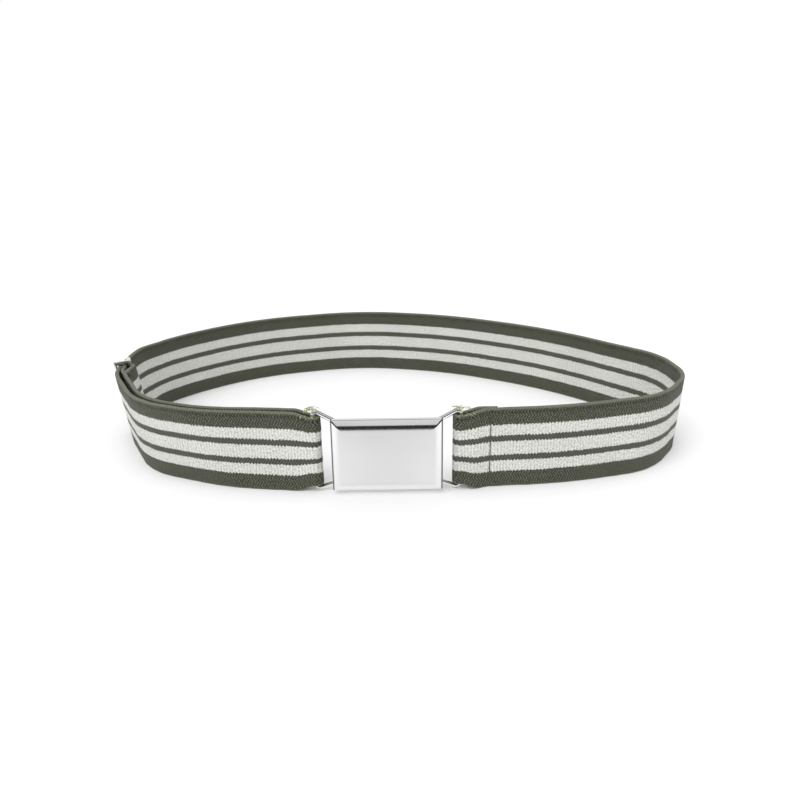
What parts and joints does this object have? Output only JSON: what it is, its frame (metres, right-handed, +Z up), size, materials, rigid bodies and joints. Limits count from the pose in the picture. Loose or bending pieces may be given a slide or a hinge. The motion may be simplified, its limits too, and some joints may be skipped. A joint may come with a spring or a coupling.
{
  "type": "elastic waist belt",
  "caption": "Adjustable elastic belt of striped webbing, with a slider for length and a flat bevelled metal clasp on two wire rings.",
  "frame": {"origin": "on the floor, under the middle of the belt's box, with the belt standing on its lower edge as a closed loop", "axes": "+X along the belt's width, towards the plain end and away from the slider; -Y towards the clasp's face; +Z up, along the webbing's width"},
  "size_m": [0.189, 0.1191, 0.0253],
  "materials": {
    "webbing": "woven elastic, olive grey and off-white stripes along its length",
    "thread": "sewing thread",
    "cover_metal": "satin nickel plate with bright bevels",
    "ring_metal": "bright nickel plate",
    "slider_metal": "bright nickel plate",
    "plate_metal": "plated pressed sheet",
    "magnet": "dull black coated ferrite"
  },
  "bodies": {
    "belt_band": {"webbing_right_bend": "webbing", "webbing_back_right": "webbing", "webbing_back_left": "webbing", "webbing_left_bend": "webbing", "webbing_outer_bend": "webbing", "webbing_inner_bend": "webbing"},
    "right_strap": {"webbing_right_front": "webbing", "webbing_right_fold": "webbing", "right_seam_stitching": "thread"},
    "left_strap": {"webbing_outer_front": "webbing", "webbing_inner_front": "webbing", "webbing_left_fold": "webbing"},
    "slider": {"slider_frame": "slider_metal", "webbing_end_tab": "webbing", "slider_tab_stitching": "thread"},
    "cover_half": {"left_ring": "ring_metal", "cover_shell": "cover_metal", "base_plate": "plate_metal", "clasp_studs": "plate_metal", "cover_rivets": "plate_metal", "cover_magnet": "magnet"},
    "catch_half": {"right_ring": "ring_metal", "catch_plate": "plate_metal", "catch_magnet": "magnet", "magnet_cup": "plate_metal"}
  },
  "joints": [
    {"name": "right_strap_swing", "type": "hinge", "parent": "belt_band", "child": "right_strap", "pos_m": [0.06184, -0.04827, 0.0125], "axis": [0, 0, -1], "range_deg": [0, 50]},
    {"name": "left_strap_swing", "type": "hinge", "parent": "belt_band", "child": "left_strap", "pos_m": [-0.06225, -0.04748, 0.0125], "axis": [0, 0, -1], "range_deg": [0, 60]},
    {"name": "slider_travel", "type": "hinge", "parent": "belt_band", "child": "slider", "pos_m": [-0.05072, -0.0009, 0.01265], "axis": [0, 0, -1], "range_deg": [-8, 30]},
    {"name": "cover_swing", "type": "hinge", "parent": "left_strap", "child": "cover_half", "pos_m": [-0.022, -0.0532, 0.01265], "axis": [0, 0, -1], "range_deg": [0, 95]},
    {"name": "catch_swing", "type": "hinge", "parent": "right_strap", "child": "catch_half", "pos_m": [0.0212, -0.0532, 0.01265], "axis": [0, 0, -1], "range_deg": [0, 95]}
  ]
}
